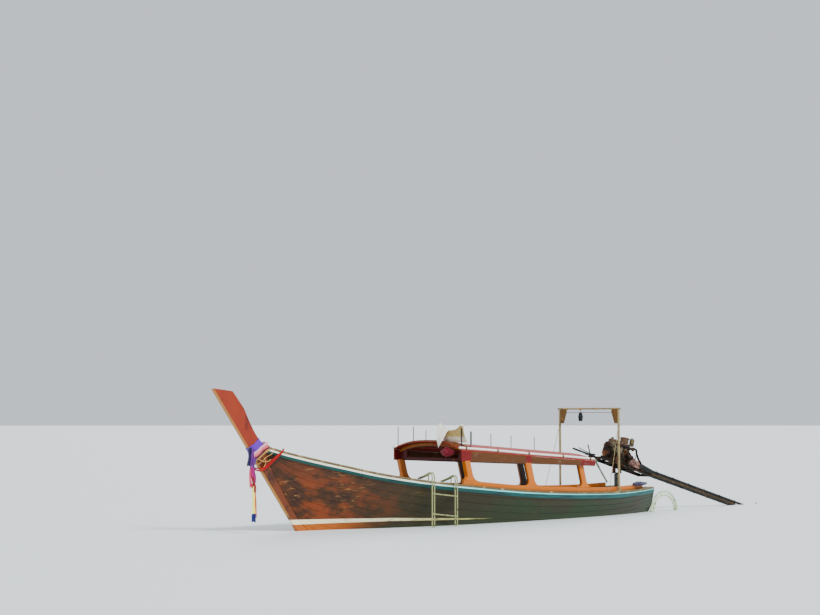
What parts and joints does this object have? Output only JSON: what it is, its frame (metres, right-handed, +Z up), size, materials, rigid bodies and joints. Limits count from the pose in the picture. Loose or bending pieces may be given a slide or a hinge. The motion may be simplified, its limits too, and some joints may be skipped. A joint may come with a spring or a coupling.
{
  "type": "longtail boat",
  "caption": "Open wooden longtail boat with a tall raked prow, light canopy, stern gantry and a swivelling engine that drives a propeller at the end of a long tail.",
  "frame": {"origin": "on the waterline plane, amidships, on the centreline", "axes": "+X to the bow, +Y to port, +Z up"},
  "size_m": [15.8322, 2.1394, 2.86],
  "materials": {
    "hull_planks": "dark oiled planks, scuffed, with a pale line near the water",
    "backbone_timber": "oiled",
    "stem_timber": "reddish oiled timber, paler on its forward edge",
    "inner_timber": "bare, worn",
    "deck_boards": "worn boards",
    "band_paint": "white paint over a teal stripe",
    "rail_timber": "worn varnish",
    "orange_timber": "orange varnish",
    "maroon_timber": "maroon paint",
    "fascia_timber": "brown varnish",
    "roof_paint": "faded red paint",
    "white_pipe": "white pipe, stained",
    "ladder_paint": "pale painted pipe",
    "gantry_pipe": "worn paint over steel",
    "dark_steel": "oily black steel",
    "rusty_steel": "rusted",
    "engine_iron": "oily cast iron",
    "engine_alloy": "stained cast alloy",
    "tail_steel": "black, tarred",
    "weathered_timber": "weathered",
    "tank_brass": "stained olive paint",
    "propeller_bronze": "dull bronze",
    "awning_cloth": "off-white canvas",
    "sash_cloth": "satin ribbon",
    "ribbon_cloth": "satin ribbons"
  },
  "bodies": {
    "hull": {"planking_port": "hull_planks", "planking_starboard": "hull_planks", "keel": "backbone_timber", "stem_post": "stem_timber", "transom": "backbone_timber", "ribs": "inner_timber", "sole_boards": "deck_boards", "thwart_fore": "deck_boards", "thwart_mid": "deck_boards", "thwart_aft": "deck_boards", "foredeck": "deck_boards", "stern_deck": "deck_boards", "rubbing_band_port": "band_paint", "rubbing_band_starboard": "band_paint", "gunwale_cap_port": "rail_timber", "gunwale_cap_starboard": "rail_timber", "coaming_port": "orange_timber", "coaming_starboard": "orange_timber", "canopy_post_front_port": "orange_timber", "canopy_post_front_starboard": "orange_timber", "canopy_post_middle_port": "orange_timber", "canopy_post_middle_starboard": "orange_timber", "canopy_post_rear_port": "orange_timber", "canopy_post_rear_starboard": "orange_timber", "roof_beam_front": "maroon_timber", "roof_beam_middle": "maroon_timber", "roof_beam_rear": "maroon_timber", "fascia_port": "fascia_timber", "fascia_starboard": "fascia_timber", "roof_panel": "roof_paint", "roof_edge_pipe_port": "white_pipe", "roof_edge_pipe_starboard": "white_pipe", "roof_rack": "dark_steel", "awning": "awning_cloth", "bow_sash": "sash_cloth", "bow_ribbons": "ribbon_cloth", "ladder": "ladder_paint", "gantry_post_port": "gantry_pipe", "gantry_post_starboard": "gantry_pipe", "gantry_crossbar": "weathered_timber", "gantry_block": "dark_steel", "stern_guard": "white_pipe", "engine_stand": "weathered_timber"},
    "yoke": {"yoke": "rusty_steel"},
    "engine": {"engine_frame": "dark_steel", "engine_block": "engine_iron", "cylinder_head": "engine_alloy", "exhaust": "rusty_steel", "air_intake": "dark_steel", "front_drive": "rusty_steel", "alternator": "engine_alloy", "gearbox": "rusty_steel", "header_tank": "tank_brass", "tail_tube": "tail_steel", "tail_plank": "weathered_timber", "tail_bar": "tail_steel", "tail_skeg": "tail_steel", "tiller": "dark_steel", "prop_leg": "dark_steel"},
    "propeller": {"propeller": "propeller_bronze"}
  },
  "joints": [
    {"name": "steering", "type": "hinge", "parent": "hull", "child": "yoke", "pos_m": [-4.15, 0, 0.8], "axis": [0, 0, 1], "range_deg": [-35, 35]},
    {"name": "tail_tilt", "type": "hinge", "parent": "yoke", "child": "engine", "pos_m": [-4.15, 0, 0.97], "axis": [0, 1, 0], "range_deg": [-8, 22]},
    {"name": "propeller_turn", "type": "hinge", "parent": "engine", "child": "propeller", "pos_m": [-9.15441, 0, -0.12019], "axis": [-0.9711, 0, -0.2385], "continuous": true}
  ]
}
